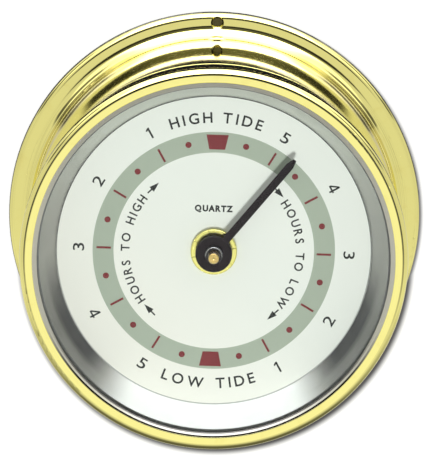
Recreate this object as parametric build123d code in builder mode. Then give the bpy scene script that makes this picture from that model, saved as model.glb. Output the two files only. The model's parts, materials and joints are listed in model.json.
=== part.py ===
"""Wall-mounted brass tide clock with a twelve-hour tide dial and a quartz movement.

The wall is the plane Y = 0, the dial faces -Y, X runs to the viewer's right and Z is up.
Depths are measured from the wall towards the viewer, so a depth d lies at Y = -d.
"""
from build123d import *
import math
import os

os.makedirs("parts", exist_ok=True)

# Case: a wall flange brazed round a barrel, with a seat for the dial and a neck for the bezel
flange_width = 9.6
flange_t = 4.5
flange_fall = 0.18
flange_round = 2.5
flange_back_round = 0.4
barrel_r = 72.9
barrel_wall = 3.9
cove_r = 4.9
cove_edge_t = 0.15
shoulder_depth = 65.0
seam_chamfer = 0.3
neck_wall = 1.5
seat_width = 5.0
seat_t = 2.5
screw_hole_r = 2.05
screw_sink_r = 2.7
screw_sink_angle = 82
screw_count = 3

# Dial stack, from the seat to the front of the bezel
dial_over_shoulder = 3.5
dial_t = 1.0
dial_side_gap = 0.3
dial_border = 7.4
neck_over_dial = 2.0
reflector_height = 15.4
reflector_shelf = 3.1
reflector_sheet = 0.5
stack_side_gap = 0.3
gasket_t = 0.5
gasket_width = 2.9
lens_t = 2.0
lens_chamfer = 0.35
lip_t = 1.6
lip_overlap = 2.3
lip_land = 0.3
lip_flare = 1.8
lip_round = 0.6

# Bezel
thread_clearance = 0.1
seam_gap = 0.1
bead_proud = 1.9
bead_length = 5.6
bead_round = 2.4
bead_heel_round = 0.8

# Hand stack on the dial
washer_t = 0.8
washer_r = 9.0
bushing_r = 4.2
bushing_flange_r = 6.0
bushing_flange_t = 0.6
bushing_clearance = 0.03
nut_r = 9.0
nut_t = 2.4
nut_round = 0.5
nut_slot_count = 8
nut_slot_width = 0.7
nut_slot_depth = 0.6
nut_slot_inner_r = 5.4
nut_slot_angle = 13.0
bushing_over_nut = 2.2
hub_gap = 0.6
hub_r = 7.1
hub_t = 1.4
hub_round = 0.4
blade_t = 0.6
blade_width = 3.0
blade_length = 48.5
blade_tip_width = 1.2
blade_tip_run = 3.0
hand_angle = 39.3
bush_r = 3.45
bush_height = 2.3
bush_round = 0.4
arbor_r = 2.05
tube_clearance = 0.07
tube_wall = 0.78
tube_below_bush = 0.4
pin_below_lens = 1.5
pin_round = 0.4
pin_centre_r = 0.5
pin_centre_depth = 0.3

# Movement housing
housing_corner = 3.0
housing_depth = 16.0
housing_wall = 1.5
rib_t = 1.0
bay_height = 14.5
post_r = 2.1
post_overlap = 0.5
post_hole_r = 0.75
case_screw_r = 0.7
case_screw_hole_r = 0.95
case_screw_length = 7.0
case_screw_head_r = 1.8
case_screw_head_t = 0.9
slot_width = 0.5
slot_depth = 0.4

# Wheels: teeth, modules and depths above the inside of the cover
going_module = 0.4
setting_module = 0.5
wheel_teeth = 40
pinion_teeth = 8
centre_teeth = 48
tide_teeth = 36
setting_teeth = 12
tooth_share = 0.38
addendum_share = 0.85
dedendum_share = 1.25
pressure_angle = 20.0
centre_to_third_angle = 150.0
third_to_second_angle = 60.0
second_to_rotor_angle = 45.0
centre_to_setting_angle = 60.0
wheel_t = 1.0
centre_wheel_lift = 3.9
second_wheel_lift = 5.7
third_wheel_lift = 7.7
pinion_reach = 0.5
tide_wheel_t = 1.2
tide_wheel_below_wall = 1.1
staff_r = 0.6
pivot_r = 0.3
pivot_clearance = 0.05
pivot_length = 0.8
pivot_boss_r = 1.5
pivot_boss_t = 0.8
staff_end_gap = 0.1
centre_pivot_r = 1.0
centre_boss_r = 2.6
wheel_hub_r = 3.4
wheel_window_count = 5
wheel_window_r = 1.1
wheel_window_circle_share = 0.62
magnet_r = 3.0
magnet_t = 3.2
clutch_t = 0.35
clutch_gap = 0.05
clutch_r = 3.6

# Bearing plate across the wheels
plate_t = 0.9
plate_under_tide_wheel = 0.5
plate_side_gap = 0.8
plate_to_board = 1.4
support_r = 1.2
support_shares = ((-0.83, 0.377), (0.396, -0.309), (-0.302, 0.917))

# Setting shaft and its knob behind the cover
setting_shaft_r = 1.25
knob_r = 6.0
knob_t = 3.0
knob_gap = 0.6
knob_notch_count = 24
knob_notch_r = 0.45
knob_round = 0.4
knob_arrow_depth = 0.4

# Motor: stator, coil and circuit
stator_t = 1.0
stator_lift = 2.3
stator_ring_r = 5.2
stator_air_gap = 0.6
stator_wall_gap = 0.5
stator_arm_width = 3.4
link_to_core = 9.0
core_to_wall = 6.0
core_width = 2.4
core_over_bay = 5.0
core_under_wall = 1.5
coil_length = 22.0
bobbin_r = 1.7
bobbin_flange_r = 2.6
bobbin_flange_t = 0.8
winding_r = 2.35
core_clearance = 0.05
board_t = 1.0
board_lift = 6.7
board_width = 12.3
board_height = 26.0
board_side_gap = 0.4
board_over_bay = 5.5
board_post_r = 1.6
board_post_inset = 1.9
board_screw_r = 0.6
board_screw_head_r = 1.3
board_screw_head_t = 0.7
board_screw_length = 3.2
crystal_r = 1.0
crystal_length = 6.0
crystal_inset = 1.8
crystal_up_board = 18.5
chip_size = 3.0
chip_t = 0.9
chip_up_board = 8.5

# Battery and its contacts
battery_r = 7.1
battery_length = 50.5
battery_nub_length = 1.3
battery_nub_r = 2.6
battery_spring_room = 2.1
battery_round = 0.6
battery_clearance = 0.2
contact_t = 0.4
contact_width = 8.0
contact_height = 9.0
spring_leaf_t = 0.3

cut_over = 1.0


def polar(angle, radius, start=(0.0, 0.0)):
    """Give the point at this angle and radius from a start point on the dial plane."""
    turn = math.radians(angle)
    return (start[0] + radius * math.cos(turn), start[1] + radius * math.sin(turn))


def mesh_distance(module, teeth, other_teeth):
    """Give the distance between the centres of two meshed gears."""
    return module * (teeth + other_teeth) / 2


wheel_to_pinion = mesh_distance(going_module, wheel_teeth, pinion_teeth)
third_place = polar(centre_to_third_angle, mesh_distance(going_module, centre_teeth, pinion_teeth))
second_place = polar(third_to_second_angle, wheel_to_pinion, third_place)
rotor_place = polar(second_to_rotor_angle, wheel_to_pinion, second_place)
setting_place = polar(centre_to_setting_angle, mesh_distance(setting_module, tide_teeth, setting_teeth))

# Depths worked out from the sizes above
flange_r = barrel_r + flange_width
case_bore_r = barrel_r - barrel_wall
neck_r = case_bore_r + neck_wall
bezel_bore_r = neck_r + thread_clearance
seat_r = case_bore_r - seat_width
dial_r = case_bore_r - dial_side_gap
dial_window_r = dial_r - dial_border
dial_back = shoulder_depth + dial_over_shoulder
dial_front = dial_back + dial_t
neck_front = dial_front + neck_over_dial
reflector_front = dial_front + reflector_height
lens_r = bezel_bore_r - stack_side_gap
reflector_top_r = lens_r - reflector_shelf
lens_back = reflector_front + gasket_t
lens_front = lens_back + lens_t
bezel_front = lens_front + lip_t
bead_r = barrel_r + bead_proud
bead_start = bezel_front - bead_length
bezel_lip_r = lens_r - lip_overlap

housing_front = dial_back - washer_t
housing_back = housing_front - housing_depth
wall_inside = housing_front - housing_wall
cover_inside = housing_back + housing_wall
nut_front = dial_front + nut_t
bushing_front = nut_front + bushing_over_nut
hub_back = bushing_front + hub_gap
hub_front = hub_back + hub_t
bush_front = hub_front + bush_height
tube_front = bush_front - tube_below_bush
tube_inner_r = arbor_r + tube_clearance
tube_r = tube_inner_r + tube_wall
bushing_bore_r = tube_r + tube_clearance
bushing_hole_r = bushing_r + bushing_clearance
pivot_hole_r = pivot_r + pivot_clearance
board_hole_r = board_screw_r + pivot_clearance
arbor_front = lens_back - pin_below_lens

tide_wheel_front = wall_inside - tide_wheel_below_wall
tide_wheel_back = tide_wheel_front - tide_wheel_t
plate_front = tide_wheel_back - plate_under_tide_wheel
plate_back = plate_front - plate_t
stator_back = cover_inside + stator_lift
board_back = cover_inside + board_lift
knob_front = housing_back - knob_gap

battery_half = (battery_length + battery_spring_room + contact_t) / 2
train_half = rotor_place[1] + stator_ring_r + stator_wall_gap
inner_half = max(battery_half, train_half)
housing_size = 2 * (inner_half + housing_wall)
bay_low_z = -inner_half
bay_high_z = bay_low_z + bay_height
battery_z = (bay_low_z + bay_high_z) / 2
battery_depth = wall_inside - battery_clearance - battery_r
core_depth = stator_back + stator_t / 2
core_x = inner_half - core_to_wall
core_low_z = bay_high_z + rib_t + core_over_bay
core_high_z = inner_half - core_under_wall
coil_centre_z = (core_low_z + core_high_z) / 2
stator_link_x = core_x - link_to_core
board_right_x = inner_half - board_side_gap
board_left_x = board_right_x - board_width
board_low_z = bay_high_z + rib_t + board_over_bay
board_high_z = board_low_z + board_height
board_post_x = board_right_x - board_post_inset
board_post_places = (board_low_z + board_post_inset, board_high_z - board_post_inset)
crystal_x = board_left_x + crystal_inset
support_places = [(x_share * inner_half, z_share * inner_half) for x_share, z_share in support_shares]
post_far = inner_half - post_r + post_overlap
post_near_z = bay_high_z + rib_t + post_r - post_overlap
post_places = ((-post_far, post_far), (post_far, post_far), (-post_far, post_near_z), (post_far, post_near_z))


def face_on(depth, place=(0.0, 0.0), clockwise=0.0):
    """Give the plane at this depth that faces the viewer, centred on a place of the dial plane."""
    turn = math.radians(clockwise)
    return Plane(
        origin=(place[0], -depth, place[1]), x_dir=(math.cos(turn), 0, -math.sin(turn)), z_dir=(0, -1, 0)
    )


half_section = Plane(origin=(0, 0, 0), x_dir=(1, 0, 0), z_dir=(0, 0, -1))


def turned(points, rounds=()):
    """Revolve a half section of (radius, depth) points, with some corners rounded first."""
    with BuildSketch(half_section) as section:
        with BuildLine():
            Polyline(*points, close=True)
        make_face()
        for corner, radius in rounds:
            fillet(section.vertices().sort_by_distance((corner[0], corner[1], 0))[0], radius)
    revolve(section.sketch, axis=Axis.Y)


def cylinder(radius, back, front, place=(0.0, 0.0), mode=Mode.ADD):
    """Add or cut a round bar that runs from one depth to another."""
    with BuildSketch(face_on(back, place)) as section:
        Circle(radius)
    extrude(section.sketch, amount=front - back, mode=mode)


def block(left, right, low, high, back, front, mode=Mode.ADD):
    """Add or cut a block between two depths."""
    with BuildSketch(face_on(back, ((left + right) / 2, (low + high) / 2))) as section:
        Rectangle(right - left, high - low)
    extrude(section.sketch, amount=front - back, mode=mode)


def tooth_points(teeth, module, first_angle):
    """Give the outline of a gear with involute flanks, one tooth centred on the first angle."""
    pitch_r = module * teeth / 2
    base_r = pitch_r * math.cos(math.radians(pressure_angle))
    tip_r = pitch_r + addendum_share * module
    root_r = pitch_r - dedendum_share * module

    def half_angle(radius):
        lean = math.acos(min(1.0, base_r / max(radius, base_r)))
        pitch_lean = math.radians(pressure_angle)
        curve = math.tan(pitch_lean) - pitch_lean - math.tan(lean) + lean
        return math.degrees(curve) + 180 * tooth_share / teeth

    flank_start = max(base_r, root_r)
    flank = [root_r, flank_start, (flank_start + tip_r) / 2, tip_r]
    if flank_start == root_r:
        flank = flank[1:]
    points = []
    for tooth in range(teeth):
        middle = first_angle + 360 * tooth / teeth
        points += [polar(middle - half_angle(radius), radius) for radius in flank]
        points += [polar(middle + half_angle(radius), radius) for radius in reversed(flank)]
    return points


def gear(teeth, module, first_angle, back, front, place=(0.0, 0.0)):
    """Add a toothed disc between two depths."""
    with BuildSketch(face_on(back, place)) as section:
        with BuildLine():
            Polyline(*tooth_points(teeth, module, first_angle), close=True)
        make_face()
    extrude(section.sketch, amount=front - back)


def wheel_windows(teeth, module, back, front, place=(0.0, 0.0)):
    """Cut the round lightening windows of a wheel."""
    circle_r = module * teeth / 2 * wheel_window_circle_share
    with BuildSketch(face_on(back - cut_over, place)) as section:
        with PolarLocations(circle_r, wheel_window_count):
            Circle(wheel_window_r)
    extrude(section.sketch, amount=front - back + 2 * cut_over, mode=Mode.SUBTRACT)


def pivots(place):
    """Add the thin pivots at both ends of a wheel's staff."""
    cylinder(pivot_r, staff_back - pivot_length, staff_front + pivot_length, place)


def opposite(angle, teeth):
    """Give the first tooth angle of a gear whose gap faces back along a mesh line."""
    return angle + 180 + 180 / teeth


staff_back = cover_inside + pivot_boss_t + staff_end_gap
staff_front = plate_back - staff_end_gap

# Brass wall flange with a cove up to the barrel and countersunk screw holes
with BuildPart() as wall_flange:
    slope = math.atan2(flange_fall, flange_width - flange_round - cove_edge_t - cove_r)
    cove_r_end = barrel_r + cove_edge_t + cove_r * (1 - math.sin(slope))
    cove_top = flange_t + cove_r * math.cos(slope)
    edge_start_r = flange_r - flange_round * (1 - math.sin(slope))
    edge_start = flange_t - (edge_start_r - cove_r_end) * math.tan(slope)
    rim_front = edge_start - flange_round * math.cos(slope)
    screw_circle_r = (cove_r_end + edge_start_r) / 2
    with BuildSketch(half_section) as flange_section:
        with BuildLine():
            Polyline(
                (barrel_r + cove_edge_t, cove_top),
                (barrel_r, cove_top),
                (barrel_r, 0),
                (flange_r, 0),
                (flange_r, rim_front),
            )
            RadiusArc((flange_r, rim_front), (edge_start_r, edge_start), -flange_round)
            Line((edge_start_r, edge_start), (cove_r_end, flange_t))
            RadiusArc((cove_r_end, flange_t), (barrel_r + cove_edge_t, cove_top), cove_r)
        make_face()
        fillet(flange_section.vertices().sort_by_distance((flange_r, 0, 0))[0], flange_back_round)
    revolve(axis=Axis.Y)
    sink_rise = cove_top - flange_t
    sink_top_r = screw_sink_r + sink_rise * math.tan(math.radians(screw_sink_angle / 2))
    with Locations(face_on(cove_top)):
        with PolarLocations(screw_circle_r, screw_count, start_angle=90):
            CounterSinkHole(screw_hole_r, sink_top_r, counter_sink_angle=screw_sink_angle)
wall_flange.part.label = "wall_flange"
export_step(wall_flange.part, "parts/wall_flange.step")

# Brass barrel, turned down to a neck in front
with BuildPart() as barrel:
    turned(
        (
            (case_bore_r, 0),
            (barrel_r, 0),
            (barrel_r, shoulder_depth - seam_chamfer),
            (barrel_r - seam_chamfer, shoulder_depth),
            (neck_r, shoulder_depth),
            (neck_r, neck_front),
            (case_bore_r, neck_front),
        )
    )
barrel.part.label = "barrel"
export_step(barrel.part, "parts/barrel.step")

# Brass seat ring for the dial, brazed inside the barrel
with BuildPart() as dial_seat:
    turned(
        (
            (seat_r, dial_back - seat_t),
            (case_bore_r, dial_back - seat_t),
            (case_bore_r, dial_back),
            (seat_r, dial_back),
        )
    )
dial_seat.part.label = "dial_seat"
export_step(dial_seat.part, "parts/dial_seat.step")

# Brass bezel that screws over the neck and clamps the lens, reflector and dial
with BuildPart() as bezel:
    bezel_back = shoulder_depth + seam_gap
    bead_rise = bead_r - barrel_r
    flare_r = bezel_lip_r + lip_flare
    turned(
        (
            (bezel_bore_r, bezel_back),
            (barrel_r - seam_chamfer, bezel_back),
            (barrel_r, bezel_back + seam_chamfer),
            (barrel_r, bead_start - bead_rise),
            (bead_r, bead_start),
            (bead_r, bezel_front),
            (flare_r, bezel_front),
            (bezel_lip_r, lens_front + lip_land),
            (bezel_lip_r, lens_front),
            (bezel_bore_r, lens_front),
        ),
        (
            ((bead_r, bezel_front), bead_round),
            ((flare_r, bezel_front), lip_round),
            ((bead_r, bead_start), bead_heel_round),
            ((barrel_r, bead_start - bead_rise), bead_heel_round),
        ),
    )
bezel.part.label = "bezel"
export_step(bezel.part, "parts/bezel.step")

# Flat glass with a ground edge
with BuildPart() as lens:
    turned(
        (
            (0, lens_back),
            (lens_r, lens_back),
            (lens_r, lens_front - lens_chamfer),
            (lens_r - lens_chamfer, lens_front),
            (0, lens_front),
        )
    )
lens.part.label = "lens"
export_step(lens.part, "parts/lens.step")

# Rubber ring between the glass and the reflector
with BuildPart() as lens_gasket:
    turned(
        (
            (lens_r - gasket_width, reflector_front),
            (lens_r, reflector_front),
            (lens_r, lens_back),
            (lens_r - gasket_width, lens_back),
        )
    )
lens_gasket.part.label = "lens_gasket"
export_step(lens_gasket.part, "parts/lens_gasket.step")

# Conical steel ring that stands on the dial and carries the glass
with BuildPart() as reflector_ring:
    turned(
        (
            (dial_window_r, dial_front),
            (dial_window_r + reflector_sheet, dial_front),
            (reflector_top_r + reflector_sheet, reflector_front - reflector_sheet),
            (lens_r, reflector_front - reflector_sheet),
            (lens_r, reflector_front),
            (reflector_top_r, reflector_front),
        )
    )
reflector_ring.part.label = "reflector_ring"
export_step(reflector_ring.part, "parts/reflector_ring.step")

# Painted dial
with BuildPart() as dial_plate:
    cylinder(dial_r, dial_back, dial_front)
    cylinder(bushing_hole_r, dial_back - cut_over, dial_front + cut_over, mode=Mode.SUBTRACT)
dial_plate.part.label = "dial_plate"
export_step(dial_plate.part, "parts/dial_plate.step")

# Rubber washer between the movement and the dial
with BuildPart() as dial_washer:
    cylinder(washer_r, housing_front, dial_back)
    cylinder(bushing_hole_r, housing_front - cut_over, dial_back + cut_over, mode=Mode.SUBTRACT)
dial_washer.part.label = "dial_washer"
export_step(dial_washer.part, "parts/dial_washer.step")

# Slotted brass nut that holds the movement to the dial
with BuildPart() as dial_nut:
    turned(
        (
            (bushing_hole_r, dial_front),
            (nut_r, dial_front),
            (nut_r, nut_front),
            (bushing_hole_r, nut_front),
        ),
        (((nut_r, nut_front), nut_round),),
    )
    slot_length = nut_r + cut_over - nut_slot_inner_r
    slot_middle_r = nut_slot_inner_r + slot_length / 2
    with BuildSketch(face_on(nut_front - nut_slot_depth)):
        with PolarLocations(slot_middle_r, nut_slot_count, start_angle=nut_slot_angle):
            Rectangle(slot_length, nut_slot_width)
    extrude(amount=nut_slot_depth + cut_over, mode=Mode.SUBTRACT)
dial_nut.part.label = "dial_nut"
export_step(dial_nut.part, "parts/dial_nut.step")

# Threaded brass bushing, headed inside the housing
with BuildPart() as movement_bushing:
    bushing_back = wall_inside - bushing_flange_t
    turned(
        (
            (bushing_bore_r, bushing_back),
            (bushing_flange_r, bushing_back),
            (bushing_flange_r, wall_inside),
            (bushing_r, wall_inside),
            (bushing_r, bushing_front),
            (bushing_bore_r, bushing_front),
        )
    )
movement_bushing.part.label = "movement_bushing"
export_step(movement_bushing.part, "parts/movement_bushing.step")

# Black front housing of the movement: a tray with a battery bay, screw posts and supports
with BuildPart() as movement_housing:
    with BuildSketch(face_on(cover_inside)):
        RectangleRounded(housing_size, housing_size, housing_corner)
    extrude(amount=housing_front - cover_inside)
    with BuildSketch(face_on(cover_inside)):
        RectangleRounded(2 * inner_half, 2 * inner_half, housing_corner - housing_wall)
    extrude(amount=wall_inside - cover_inside, mode=Mode.SUBTRACT)
    block(-inner_half, inner_half, bay_high_z, bay_high_z + rib_t, cover_inside, wall_inside)
    for place in post_places:
        cylinder(post_r, cover_inside, wall_inside, place)
        cylinder(post_hole_r, cover_inside, cover_inside + case_screw_length, place, Mode.SUBTRACT)
    for place in support_places:
        cylinder(support_r, plate_front, wall_inside, place)
    for board_z in board_post_places:
        board_front = board_back + board_t
        cylinder(board_post_r, board_front, wall_inside, (board_post_x, board_z))
        cylinder(board_hole_r, board_front, wall_inside, (board_post_x, board_z), Mode.SUBTRACT)
    cylinder(bushing_hole_r, wall_inside, housing_front, mode=Mode.SUBTRACT)
    cylinder(staff_r + pivot_clearance, wall_inside, wall_inside + pivot_length, setting_place, Mode.SUBTRACT)
movement_housing.part.label = "movement_housing"
export_step(movement_housing.part, "parts/movement_housing.step")

# Black rear cover with pivot bosses, open over the battery bay
with BuildPart() as movement_cover:
    with BuildSketch(face_on(housing_back)):
        RectangleRounded(housing_size, housing_size, housing_corner)
    extrude(amount=cover_inside - housing_back)
    block(-inner_half, inner_half, bay_low_z, bay_high_z, housing_back, cover_inside, Mode.SUBTRACT)
    for place in post_places:
        cylinder(case_screw_hole_r, housing_back, cover_inside, place, Mode.SUBTRACT)
    for place in support_places:
        cylinder(support_r, cover_inside, plate_back, place)
    for place in ((stator_link_x, coil_centre_z), (core_x, core_high_z - stator_arm_width / 2)):
        cylinder(support_r, cover_inside, stator_back, place)
    cylinder(setting_shaft_r + pivot_clearance, housing_back, cover_inside, setting_place, Mode.SUBTRACT)
    boss_front = cover_inside + pivot_boss_t
    hole_back = cover_inside - pivot_length
    cylinder(centre_boss_r, cover_inside, boss_front)
    cylinder(centre_pivot_r + pivot_clearance, hole_back, boss_front, mode=Mode.SUBTRACT)
    for place in (third_place, second_place, rotor_place):
        cylinder(pivot_boss_r, cover_inside, boss_front, place)
        cylinder(pivot_hole_r, hole_back, boss_front, place, Mode.SUBTRACT)
movement_cover.part.label = "movement_cover"
export_step(movement_cover.part, "parts/movement_cover.step")

# Four slotted screws through the cover
with BuildPart() as cover_screws:
    for place in post_places:
        head_back = housing_back - case_screw_head_t
        cylinder(case_screw_head_r, head_back, housing_back, place)
        cylinder(case_screw_r, housing_back, housing_back + case_screw_length, place)
        with BuildSketch(face_on(head_back, place)):
            Rectangle(2 * case_screw_head_r + cut_over, slot_width)
        extrude(amount=slot_depth, mode=Mode.SUBTRACT)
cover_screws.part.label = "cover_screws"
export_step(cover_screws.part, "parts/cover_screws.step")

# Bearing plate that carries the front pivots
with BuildPart() as bearing_plate:
    block(
        -inner_half + plate_side_gap,
        board_left_x - plate_to_board,
        bay_high_z + rib_t + plate_side_gap,
        inner_half - plate_side_gap,
        plate_back,
        plate_front,
    )
    for place in post_places[0], post_places[2]:
        cylinder(post_r + plate_side_gap, plate_back, plate_front, place, Mode.SUBTRACT)
    cylinder(tube_inner_r, plate_back, plate_front, mode=Mode.SUBTRACT)
    cylinder(setting_shaft_r + pivot_clearance, plate_back, plate_front, setting_place, Mode.SUBTRACT)
    for place in (third_place, second_place, rotor_place):
        cylinder(pivot_hole_r, plate_back, plate_front, place, Mode.SUBTRACT)
bearing_plate.part.label = "bearing_plate"
export_step(bearing_plate.part, "parts/bearing_plate.step")

# Brass centre arbor, whose tip shows in front of the hand
with BuildPart() as centre_arbor:
    turned(
        (
            (0, cover_inside - pivot_length / 2),
            (centre_pivot_r, cover_inside - pivot_length / 2),
            (centre_pivot_r, staff_back),
            (arbor_r, staff_back),
            (arbor_r, arbor_front),
            (pin_centre_r, arbor_front),
            (0, arbor_front - pin_centre_depth),
        ),
        (((arbor_r, arbor_front), pin_round),),
    )
centre_arbor.part.label = "centre_arbor"
export_step(centre_arbor.part, "parts/centre_arbor.step")

# Centre wheel, pressed on the arbor
with BuildPart() as centre_wheel:
    centre_wheel_back = cover_inside + centre_wheel_lift
    centre_wheel_front = centre_wheel_back + wheel_t
    gear(centre_teeth, going_module, centre_to_third_angle, centre_wheel_back, centre_wheel_front)
    wheel_windows(centre_teeth, going_module, centre_wheel_back, centre_wheel_front)
    cylinder(wheel_hub_r, centre_wheel_back - pinion_reach, centre_wheel_front + pinion_reach)
    cylinder(
        arbor_r, centre_wheel_back - pinion_reach, centre_wheel_front + pinion_reach, mode=Mode.SUBTRACT
    )
centre_wheel.part.label = "centre_wheel"
export_step(centre_wheel.part, "parts/centre_wheel.step")

# Spring washer on the arbor that drives the tide wheel by friction
with BuildPart() as clutch_washer:
    clutch_front = tide_wheel_back - clutch_gap
    cylinder(clutch_r, clutch_front - clutch_t, clutch_front)
    cylinder(arbor_r, clutch_front - clutch_t, clutch_front, mode=Mode.SUBTRACT)
clutch_washer.part.label = "clutch_washer"
export_step(clutch_washer.part, "parts/clutch_washer.step")

# Third wheel, whose pinion turns the centre wheel
with BuildPart() as third_wheel:
    third_wheel_back = cover_inside + third_wheel_lift
    third_wheel_front = third_wheel_back + wheel_t
    gear(wheel_teeth, going_module, third_to_second_angle, third_wheel_back, third_wheel_front, third_place)
    wheel_windows(wheel_teeth, going_module, third_wheel_back, third_wheel_front, third_place)
    gear(
        pinion_teeth,
        going_module,
        opposite(centre_to_third_angle, pinion_teeth),
        centre_wheel_back - pinion_reach,
        centre_wheel_front + pinion_reach,
        third_place,
    )
    cylinder(staff_r, staff_back, staff_front, third_place)
    pivots(third_place)
third_wheel.part.label = "third_wheel"
export_step(third_wheel.part, "parts/third_wheel.step")

# Second wheel, whose pinion turns the third wheel
with BuildPart() as second_wheel:
    second_wheel_back = cover_inside + second_wheel_lift
    second_wheel_front = second_wheel_back + wheel_t
    gear(
        wheel_teeth,
        going_module,
        second_to_rotor_angle,
        second_wheel_back,
        second_wheel_front,
        second_place,
    )
    wheel_windows(wheel_teeth, going_module, second_wheel_back, second_wheel_front, second_place)
    gear(
        pinion_teeth,
        going_module,
        opposite(third_to_second_angle, pinion_teeth),
        second_wheel_front,
        third_wheel_front + pinion_reach / 2,
        second_place,
    )
    cylinder(staff_r, staff_back, staff_front, second_place)
    pivots(second_place)
second_wheel.part.label = "second_wheel"
export_step(second_wheel.part, "parts/second_wheel.step")

# Rotor staff with the pinion that turns the second wheel
with BuildPart() as rotor_pinion:
    gear(
        pinion_teeth,
        going_module,
        opposite(second_to_rotor_angle, pinion_teeth),
        second_wheel_back - pinion_reach,
        second_wheel_front + pinion_reach,
        rotor_place,
    )
    cylinder(staff_r, staff_back, staff_front, rotor_place)
    pivots(rotor_place)
rotor_pinion.part.label = "rotor_pinion"
export_step(rotor_pinion.part, "parts/rotor_pinion.step")

# Ring magnet on the rotor staff
with BuildPart() as rotor_magnet:
    magnet_back = stator_back + stator_t / 2 - magnet_t / 2
    cylinder(magnet_r, magnet_back, magnet_back + magnet_t, rotor_place)
    cylinder(staff_r, magnet_back, magnet_back + magnet_t, rotor_place, Mode.SUBTRACT)
rotor_magnet.part.label = "rotor_magnet"
export_step(rotor_magnet.part, "parts/rotor_magnet.step")

# Steel stator: two arms that meet round the rotor, joined through the coil
with BuildPart() as stator:
    stator_front = stator_back + stator_t
    arm = stator_arm_width
    core_left = core_x - core_width / 2
    core_right = core_x + core_width / 2
    link_left = stator_link_x - arm / 2
    link_right = stator_link_x + arm / 2
    rotor_x = rotor_place[0]
    rotor_z = rotor_place[1]
    arm_gap = stator_air_gap / 2
    cylinder(stator_ring_r, stator_back, stator_front, rotor_place)
    block(rotor_x, core_right, core_high_z - arm, core_high_z, stator_back, stator_front)
    block(link_left, link_right, core_low_z, rotor_z - arm_gap, stator_back, stator_front)
    block(rotor_x, link_right, rotor_z - arm_gap - arm, rotor_z - arm_gap, stator_back, stator_front)
    block(link_left, core_right, core_low_z, core_low_z + arm, stator_back, stator_front)
    block(core_left, core_right, core_low_z, core_high_z, stator_back, stator_front)
    cylinder(magnet_r + stator_air_gap, stator_back, stator_front, rotor_place, Mode.SUBTRACT)
stator.part.label = "stator"
export_step(stator.part, "parts/stator.step")

# Coil bobbin round the stator's core
with BuildPart() as coil_bobbin:
    coil_low = coil_centre_z - coil_length / 2
    with BuildSketch(Plane.XY.offset(coil_low)):
        with Locations((core_x, -core_depth)):
            Circle(bobbin_flange_r)
    extrude(amount=bobbin_flange_t)
    with BuildSketch(Plane.XY.offset(coil_low + coil_length - bobbin_flange_t)):
        with Locations((core_x, -core_depth)):
            Circle(bobbin_flange_r)
    extrude(amount=bobbin_flange_t)
    with BuildSketch(Plane.XY.offset(coil_low)):
        with Locations((core_x, -core_depth)):
            Circle(bobbin_r)
    extrude(amount=coil_length)
    with BuildSketch(Plane.XY.offset(coil_low)):
        with Locations((core_x, -core_depth)):
            Rectangle(core_width + 2 * core_clearance, stator_t + 2 * core_clearance)
    extrude(amount=coil_length, mode=Mode.SUBTRACT)
coil_bobbin.part.label = "coil_bobbin"
export_step(coil_bobbin.part, "parts/coil_bobbin.step")

# Copper winding between the bobbin's flanges
with BuildPart() as coil_winding:
    with BuildSketch(Plane.XY.offset(coil_low + bobbin_flange_t)):
        with Locations((core_x, -core_depth)):
            Circle(winding_r)
            Circle(bobbin_r, mode=Mode.SUBTRACT)
    extrude(amount=coil_length - 2 * bobbin_flange_t)
coil_winding.part.label = "coil_winding"
export_step(coil_winding.part, "parts/coil_winding.step")

# Circuit board on its two posts
with BuildPart() as circuit_board:
    block(board_left_x, board_right_x, board_low_z, board_high_z, board_back, board_back + board_t)
    for board_z in board_post_places:
        cylinder(board_hole_r, board_back, board_back + board_t, (board_post_x, board_z), Mode.SUBTRACT)
circuit_board.part.label = "circuit_board"
export_step(circuit_board.part, "parts/circuit_board.step")

# Two screws that hold the board
with BuildPart() as board_screws:
    for board_z in board_post_places:
        place = (board_post_x, board_z)
        cylinder(board_screw_head_r, board_back - board_screw_head_t, board_back, place)
        cylinder(board_screw_r, board_back, board_back + board_screw_length, place)
        with BuildSketch(face_on(board_back - board_screw_head_t, place)):
            Rectangle(2 * board_screw_head_r + cut_over, slot_width)
        extrude(amount=slot_depth, mode=Mode.SUBTRACT)
board_screws.part.label = "board_screws"
export_step(board_screws.part, "parts/board_screws.step")

# Timing crystal: a small can lying on the board
with BuildPart() as timing_crystal:
    with BuildSketch(Plane.XY.offset(board_low_z + crystal_up_board - crystal_length / 2)):
        with Locations((crystal_x, crystal_r - board_back)):
            Circle(crystal_r)
    extrude(amount=crystal_length)
timing_crystal.part.label = "timing_crystal"
export_step(timing_crystal.part, "parts/timing_crystal.step")

# Timer chip on the board
with BuildPart() as timer_chip:
    chip_left = crystal_x - chip_size / 2
    chip_low = board_low_z + chip_up_board - chip_size / 2
    block(chip_left, chip_left + chip_size, chip_low, chip_low + chip_size, board_back - chip_t, board_back)
timer_chip.part.label = "timer_chip"
export_step(timer_chip.part, "parts/timer_chip.step")

# Tide wheel with the tube that carries the hand
with BuildPart() as tide_wheel:
    gear(tide_teeth, setting_module, centre_to_setting_angle, tide_wheel_back, tide_wheel_front)
    wheel_windows(tide_teeth, setting_module, tide_wheel_back, tide_wheel_front)
    cylinder(tube_r, tide_wheel_back, tube_front)
    cylinder(tube_inner_r, tide_wheel_back, tube_front, mode=Mode.SUBTRACT)
tide_wheel.part.label = "tide_wheel"
export_step(tide_wheel.part, "parts/tide_wheel.step")

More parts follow.
